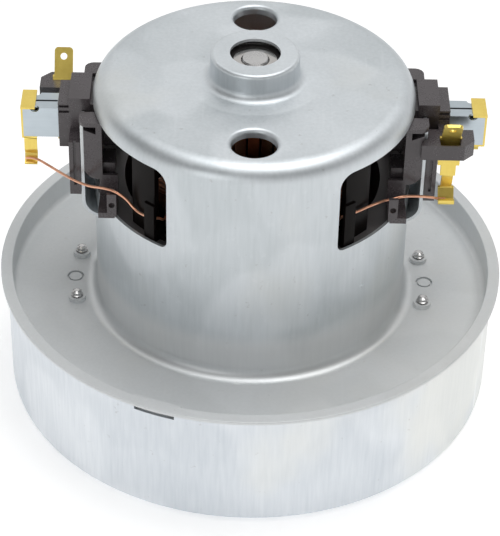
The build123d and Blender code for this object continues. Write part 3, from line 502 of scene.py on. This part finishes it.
@dataclass(frozen=True)
class BrightMetal(Grained):
    """Plain metal with fine marks along one direction and a slight cloudiness."""

    grain: Noise = Noise(1800.0)
    cloud: Noise = Noise(240.0)
    relief: float = 0.006 * MM
    grain_share: float = 0.5
    cloud_share: float = 0.7
    cloud_roughness: float = 0.16
    metal: float = 1.0

    def constants(self) -> dict[str, float]:
        """Sockets that are the same all over, by name."""
        return {"Metallic": self.metal}


@dataclass(frozen=True)
class MouldedPlastic(Grained):
    """Moulded plastic with a fine grain, dust in the grain and slightly paler wear."""

    roughness: float = 0.35
    grain: Noise = Noise(2600.0, 2.0)
    cloud: Noise = Noise(160.0, 4.0)
    relief: float = 0.01 * MM
    grain_share: float = 0.4
    cloud_share: float = 0.6
    cloud_roughness: float = 0.14
    gloss: float = 0.4

    def constants(self) -> dict[str, float]:
        """Sockets that are the same all over, by name."""
        return {"Specular_IOR_Level": self.gloss}


@dataclass(frozen=True)
class EnamelledWire:
    """Copper wire under clear enamel: warm metal with darker, glossy patches."""

    name: str
    dark: Colour
    light: Colour
    darkening: float = 0.25
    cloud: Noise = Noise(420.0)
    cloud_share: float = 1.5
    cloud_roughness: float = 0.2
    roughness: float = 0.22
    metal: float = 0.85
    enamel: float = 0.4
    enamel_roughness: float = 0.12

    def make(self) -> bpy.types.Material:
        """Builds the material.

        Returns:
            The material.
        """
        shader = Shader(self.name)
        cloud = self.cloud.on(shader)
        colour = shader.blend(self.dark, self.light, cloud * self.cloud_share - self.darkening)
        rough = cloud * self.cloud_roughness + self.roughness
        shader.surface_set(Base_Color=colour, Roughness=rough, Metallic=self.metal)
        shader.surface_set(Coat_Weight=self.enamel, Coat_Roughness=self.enamel_roughness)
        return shader.material


@dataclass(frozen=True)
class LaminatedCore:
    """Stack of varnished steel sheets: fine level lines round the side, darker between the sheets."""

    name: str
    dark: Colour = (0.05, 0.045, 0.045, 1.0)
    light: Colour = (0.22, 0.21, 0.21, 1.0)
    pitch: float = 0.6 * MM
    edge: float = 0.3
    edge_share: float = 0.6
    cloud: Noise = Noise(200.0)
    cloud_share: float = 0.4
    cloud_roughness: float = 0.2
    roughness: float = 0.4
    metal: float = 0.7
    relief: float = 0.06 * MM

    def make(self) -> bpy.types.Material:
        """Builds the material.

        Returns:
            The material.
        """
        shader = Shader(self.name)
        across = (shader.along(Axis.HEIGHT) * (1.0 / self.pitch)).math("FRACT")
        sheet = across.step(0.0, self.edge) * (1.0 - across.step(1.0 - self.edge, 1.0))
        cloud = self.cloud.on(shader)
        colour = shader.blend(self.dark, self.light, sheet * self.edge_share + cloud * self.cloud_share)
        rough = cloud * self.cloud_roughness + self.roughness
        shader.surface_set(Base_Color=colour, Roughness=rough, Metallic=self.metal)
        shader.relief(sheet, self.relief)
        return shader.material


@dataclass(frozen=True)
class Finishes:
    """Every finish of the motor, each made once."""

    housing: ZincSheet = ZincSheet("zinc_housing", foot=PaleFoot(), root=RootBend(), pocket=Pocket())
    cover: ZincSheet = ZincSheet(
        "zinc_cover", light=(0.80, 0.83, 0.86, 1.0), dark=(0.62, 0.66, 0.70, 1.0), roughness=0.34,
        crystal_scale=55.0, streaks=Noise(1100.0, 2.0, (1.0, 1.0, 0.08)), streak_share=0.9, relief=0.02 * MM,
        stains=Marks((0.84, 0.83, 0.76, 1.0), 0.5, Noise(24.0, 3.0, (1.0, 1.0, 0.6)), 0.50, 0.68),
        scratches=Marks((0.93, 0.95, 0.97, 1.0), 0.35, Noise(640.0, 1.0, (0.3, 0.3, 0.03)), 0.66, 0.74),
    )
    plated: BrightMetal = BrightMetal(
        "plated_tube", (0.42, 0.48, 0.52, 1.0), (0.58, 0.64, 0.68, 1.0), 0.20,
        Noise(1800.0, stretch=(0.05, 1.0, 1.0)),
    )
    brass: BrightMetal = BrightMetal(
        "rolled_brass", (0.80, 0.58, 0.11, 1.0), (0.98, 0.78, 0.21, 1.0), 0.21,
        Noise(1800.0, stretch=(1.0, 1.0, 0.1)), metal=0.7,
    )
    bright: BrightMetal = BrightMetal("bright_steel", grey(0.46, 0.005), grey(0.66, 0.005), 0.16)
    bearing: BrightMetal = BrightMetal(
        "bearing_steel", grey(0.44, 0.015), grey(0.62, 0.02), 0.06, Noise(500.0, stretch=(1.0, 1.0, 8.0)),
    )
    fan: BrightMetal = BrightMetal("fan_aluminium", grey(0.66), grey(0.80), 0.24)
    bars: BrightMetal = BrightMetal(
        "commutator_copper", (0.40, 0.18, 0.10, 1.0), (0.72, 0.36, 0.22, 1.0), 0.20,
        Noise(400.0, stretch=(1.0, 1.0, 12.0)),
    )
    holder: MouldedPlastic = MouldedPlastic(
        "holder_plastic", (0.050, 0.042, 0.044, 1.0), (0.100, 0.086, 0.092, 1.0), 0.16, gloss=0.6,
    )
    # black plastic, painted darker still and kept dull as painted shade for the shade inside the windows
    inner: MouldedPlastic = MouldedPlastic(
        "frame_plastic", (0.003, 0.002, 0.002, 1.0), (0.009, 0.007, 0.006, 1.0), 0.23, gloss=0.06,
    )
    guide: MouldedPlastic = MouldedPlastic("guide_plastic", (0.09, 0.09, 0.095, 1.0), (0.15, 0.15, 0.16, 1.0))
    seal: MouldedPlastic = MouldedPlastic(
        "seal_rubber", (0.012, 0.010, 0.010, 1.0), (0.03, 0.026, 0.025, 1.0), 0.45,
    )
    carbon: MouldedPlastic = MouldedPlastic(
        "pressed_carbon", (0.02, 0.02, 0.022, 1.0), (0.07, 0.07, 0.075, 1.0), 0.28,
    )
    lead: EnamelledWire = EnamelledWire(
        "lead_copper", (0.55, 0.22, 0.12, 1.0), (0.90, 0.50, 0.33, 1.0), 0.15,
    )
    winding: EnamelledWire = EnamelledWire("coil_copper", (0.12, 0.04, 0.02, 1.0), (0.50, 0.20, 0.09, 1.0))
    core: LaminatedCore = LaminatedCore("laminated_core")

    def made(self) -> dict[str, bpy.types.Material]:
        """Builds every material; each is named by its finish's field."""
        return {key: getattr(self, key).make() for key in self.__dataclass_fields__}


WORN_BY: dict[str, Sequence[str]] = {
    "housing": ("motor_housing", "lower_bracket"),
    "cover": ("fan_cover",),
    "plated": ("right_brush_tube", "left_brush_tube"),
    "brass": ("right_brush_cap", "left_brush_cap", "right_terminal", "left_terminal"),
    "bright": (
        "bracket_screws", "tolerance_ring", "wave_washer", "shaft", "upper_fan_washer", "lower_fan_washer",
        "fan_spacer", "fan_nut", "top_bearing_cage", "lower_bearing_cage", "right_brush_spring",
        "left_brush_spring",
    ),
    "bearing": (
        "top_bearing_outer_ring", "top_bearing_inner_ring", "top_bearing_balls",
        "lower_bearing_outer_ring", "lower_bearing_inner_ring", "lower_bearing_balls",
    ),
    "fan": ("impeller_front_disc", "impeller_back_disc", "impeller_blades"),
    "holder": ("right_brush_holder", "left_brush_holder"),
    "inner": ("front_coil_frame", "back_coil_frame", "commutator_hub"),
    "guide": ("diffuser",),
    "seal": ("top_bearing_seals", "lower_bearing_seals"),
    "carbon": ("right_carbon_brush", "left_carbon_brush"),
    "lead": (
        "right_brush_braid", "left_brush_braid", "front_left_lead", "front_right_lead", "back_left_lead",
        "back_right_lead",
    ),
    "winding": ("front_field_coil", "back_field_coil", "armature_winding"),
    "bars": ("commutator_bars",),
    "core": ("stator_core", "armature_core"),
}


# Pieces that stand for a solid


def merged_copy(node: str, ending: str) -> bpy.types.Object:
    """Copies a solid's mesh, with its loose triangles merged and its flat faces joined.

    Args:
        node: the solid's name.
        ending: what the copy's name has after it.

    Returns:
        The copy, smooth shaded, in the scene.
    """
    solid = frame["nodes"][node]
    mesh = solid.data.copy()
    mesh.name = node + ending
    mesh.transform(solid.matrix_world)
    shape = bmesh.new()
    shape.from_mesh(mesh)
    bmesh.ops.remove_doubles(shape, verts=shape.verts, dist=MERGE_DISTANCE)
    bmesh.ops.dissolve_limit(
        shape, angle_limit=FLAT_ANGLE, verts=shape.verts, edges=shape.edges, use_dissolve_boundaries=False,
    )
    bmesh.ops.recalc_face_normals(shape, faces=shape.faces)
    shape.to_mesh(mesh)
    shape.free()
    piece = bpy.data.objects.new(node + ending, mesh)
    bpy.context.scene.collection.objects.link(piece)
    mesh.shade_smooth()
    return piece


class Side(Enum):
    """A side of the motor, as the names of its pieces and bodies have it."""

    RIGHT = "right"
    LEFT = "left"

    def named(self, name: str) -> str:
        """A whole name, which starts with the side."""
        return self.value + "_" + name


@dataclass(frozen=True)
class SlidingPiece:
    """A spring's or a braid's merged copy, baked and shown in the solid's place; nothing ties it to its brush
    or shortens it.
    """

    side: Side
    name: str

    @property
    def node(self) -> str:
        """The solid's name."""
        return self.side.named(self.name)

    @property
    def brush(self) -> str:
        """Name of the brush's body; nothing ties the piece to it."""
        return self.side.named("brush")

    def build(self) -> bpy.types.Object:
        """Makes the piece.

        Returns:
            The piece.
        """
        piece = merged_copy(self.node, "_sliding")
        low, high = (Vector((end.x, 0.0, 0.0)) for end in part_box(self.node))
        self.brush
        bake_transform(piece)
        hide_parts(self.node)
        return piece


class Edge(Enum):
    """How far the edges of a piece are rounded."""

    MOULDED = 0.22 * MM
    FOLDED = 0.12 * MM


@dataclass(frozen=True)
class SoftPiece:
    """A solid's copy whose sharp edges are rounded a little, shown in the solid's place."""

    node: str
    edge: Edge
    sharp_angle: float = 28.0
    segments: int = 2
    flat_weight: int = 100

    def build(self) -> bpy.types.Object:
        """Makes the piece.

        Returns:
            The piece.
        """
        piece = merged_copy(self.node, "_soft")
        bevel = piece.modifiers.new("rounding", "BEVEL")
        bevel.width = self.edge.value
        bevel.segments = self.segments
        bevel.limit_method = "ANGLE"
        bevel.angle_limit = math.radians(self.sharp_angle)
        bevel.use_clamp_overlap = True
        normals = piece.modifiers.new("flat_faces", "WEIGHTED_NORMAL")
        normals.mode = "FACE_AREA"
        normals.weight = self.flat_weight
        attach(piece, self.body())
        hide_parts(self.node)
        return piece

    def body(self) -> str:
        """Name of the CAD body that carries the solid."""
        carrier = frame["nodes"][self.node].parent
        return next(name for name, empty in frame["bodies"].items() if empty == carrier)


SLIDING_PIECES: Sequence[SlidingPiece] = tuple(
    SlidingPiece(side, name) for side in Side for name in ("brush_spring", "brush_braid")
)
SOFT_PIECES: Sequence[SoftPiece] = tuple(
    SoftPiece(side.named(name), edge)
    for side in Side
    for name, edge in (
        ("brush_holder", Edge.MOULDED), ("brush_tube", Edge.FOLDED), ("brush_cap", Edge.FOLDED),
        ("terminal", Edge.FOLDED),
    )
) + tuple(SoftPiece(node, Edge.MOULDED) for node in ("front_coil_frame", "back_coil_frame"))


def dress(finishes: Mapping[str, bpy.types.Material], shown: Mapping[str, bpy.types.Object]) -> None:
    """Gives every CAD node, or the piece that stands for it, its finish.

    Args:
        finishes: the materials by finish name.
        shown: the pieces that stand for a node, by the node's name.
    """
    for finish, nodes in WORN_BY.items():
        for node in nodes:
            slots = shown.get(node, frame["nodes"][node]).data.materials
            slots.clear()
            slots.append(finishes[finish])
            LOG.info("%s wears %s", node, finish)


# The studio


@dataclass(frozen=True)
class Lamp:
    """A soft round lamp; its size is in metres and its power in watts."""

    name: str
    spot: Triple
    size: float
    power: float

    def build(self, target: Vector) -> bpy.types.Object:
        """Makes the lamp.

        Args:
            target: the point that it faces.

        Returns:
            The lamp's object.
        """
        data = bpy.data.lights.new(self.name, "AREA")
        data.shape = "DISK"
        data.size = self.size
        data.energy = self.power
        lamp = bpy.data.objects.new(self.name, data)
        bpy.context.scene.collection.objects.link(lamp)
        turn = (target - Vector(self.spot)).to_track_quat("-Z", "Y")
        lamp.matrix_world = Matrix.Translation(self.spot) @ turn.to_matrix().to_4x4()
        return lamp


@dataclass(frozen=True)
class Studio:
    """Pale floor, soft lamps, dim cards and the camera at the photograph's place.

    Angles are in degrees, and lengths in metres but for the lens and the film, which are in millimetres.
    """

    elevation: float = 37.9705
    yaw: float = 0.5112
    roll: float = 1.3894
    distance: float = 591.01 * MM
    aim_x: float = -0.0493 * MM
    aim_z: float = 31.7277 * MM
    lens: float = 145.45
    film: float = 36.0
    nearest: float = 10.0 * MM
    floor_half: float = 3.0
    floor_tone: Colour = grey(0.93)
    floor_glow: float = 0.42
    board_roughness: float = 0.9
    card_half: float = 2.2
    card_tone: Colour = grey(0.22)
    front_low: tuple[float, float] = (-2.3, 0.85)
    front_high: tuple[float, float] = (-1.5, 2.3)
    side_low: tuple[float, float] = (2.3, 0.8)
    side_high: tuple[float, float] = (1.5, 2.3)
    side_span: tuple[float, float] = (-2.2, 0.9)
    lamps: Sequence[Lamp] = (
        Lamp("overhead_lamp", (0.25, 0.05, 1.9), 1.6, 18.0),
        Lamp("front_lamp", (-0.9, -1.7, 0.65), 0.9, 4.5),
    )
    lamp_target: Triple = (0.0, 0.0, 50.0 * MM)
    world_seen: float = 1.0
    world_light: float = 0.45

    def camera(self) -> bpy.types.Object:
        """Makes the camera, which stands back from the aim along the view's axis, with its roll and yaw.

        Returns:
            The camera's object.
        """
        tilt, roll, yaw = (math.radians(v) for v in (self.elevation, self.roll, self.yaw))
        back = Vector((0.0, -math.cos(tilt), math.sin(tilt)))
        right = Vector((1.0, 0.0, 0.0))
        up = Vector((0.0, math.sin(tilt), math.cos(tilt)))
        across = right * math.cos(roll) + up * math.sin(roll)
        upward = up * math.cos(roll) - right * math.sin(roll)
        turn = Matrix.Rotation(-yaw, 3, "Z")
        place = turn @ (Vector((self.aim_x, 0.0, self.aim_z)) + back * self.distance)
        axes = turn @ Matrix((across, upward, back)).transposed()
        data = bpy.data.cameras.new("camera")
        data.lens = self.lens
        data.sensor_width = self.film
        data.clip_start = self.nearest
        camera = bpy.data.objects.new("camera", data)
        bpy.context.scene.collection.objects.link(camera)
        camera.matrix_world = Matrix.Translation(place) @ axes.to_4x4()
        bpy.context.scene.camera = camera
        return camera

    def boards(
        self, name: str, corners: Sequence[Triple], tone: Colour, glow: float = 0.0,
    ) -> bpy.types.Object:
        """Makes flat boards that are part of the studio.

        Args:
            name: the boards' name.
            corners: four corners for each board, in turn.
            tone: their colour.
            glow: how strongly they shine by themselves.

        Returns:
            The boards' object.
        """
        mesh = bpy.data.meshes.new(name)
        mesh.from_pydata(corners, [], [tuple(range(i, i + 4)) for i in range(0, len(corners), 4)])
        boards = bpy.data.objects.new(name, mesh)
        bpy.context.scene.collection.objects.link(boards)
        shader = Shader("studio_" + name)
        shader.surface_set(Base_Color=tone, Roughness=self.board_roughness)
        shader.surface_set(Emission_Color=grey(1.0), Emission_Strength=glow)
        mesh.materials.append(shader.material)
        return boards

    def floor(self) -> bpy.types.Object:
        """Makes the floor, which comes out white and keeps the object's soft shadow.

        Returns:
            The floor's object.
        """
        half = self.floor_half
        corners = [(-half, -half, 0.0), (half, -half, 0.0), (half, half, 0.0), (-half, half, 0.0)]
        return self.boards("floor", corners, self.floor_tone, self.floor_glow)

    def cards(self) -> bpy.types.Object:
        """Makes the dim cards behind the camera and at both sides that the round edges reflect.

        Returns:
            The cards' object.
        """
        half = self.card_half
        (y0, z0), (y1, z1) = self.front_low, self.front_high
        corners = [(-half, y0, z0), (half, y0, z0), (half, y1, z1), (-half, y1, z1)]
        (x0, z0), (x1, z1) = self.side_low, self.side_high
        near, far = self.side_span
        for way in (-1, 1):
            corners += [(way * x0, near, z0), (way * x0, far, z0), (way * x1, far, z1), (way * x1, near, z1)]
        return self.boards("dim_card", corners, self.card_tone)

    def world(self) -> None:
        """Makes the world, bright where it is seen, in gloss or through glass, and dimmer as light."""
        world = bpy.data.worlds.new("studio")
        bpy.context.scene.world = world
        world.use_nodes = True
        nodes = Nodes(world.node_tree)
        camera, glass, gloss = (
            nodes.node("ShaderNodeLightPath", output=ray)
            for ray in ("Is Camera Ray", "Is Transmission Ray", "Is Glossy Ray")
        )
        seen = camera.math("MAXIMUM", glass).math("MAXIMUM", gloss)
        strength = seen * (self.world_seen - self.world_light) + self.world_light
        nodes.end("ShaderNodeOutputWorld", nodes.node("ShaderNodeBackground", inputs={"Strength": strength}))

    def build(self) -> None:
        """Makes the camera, the floor, the cards, the lamps and the world."""
        self.camera()
        self.floor()
        self.cards()
        for lamp in self.lamps:
            lamp.build(Vector(self.lamp_target))
            LOG.info("%s is lit", lamp.name)
        self.world()
        bpy.context.scene.view_settings.view_transform = "Standard"


def main() -> None:
    """Builds the studio, the pieces and their finishes."""
    logging.basicConfig(level=logging.INFO)
    Studio().build()
    finishes = Finishes().made()
    shown = {}
    for piece in (*SLIDING_PIECES, *SOFT_PIECES):
        shown[piece.node] = piece.build()
        LOG.info("%s is shown by its copy", piece.node)
    dress(finishes, shown)


if __name__ == "__main__":
    main()
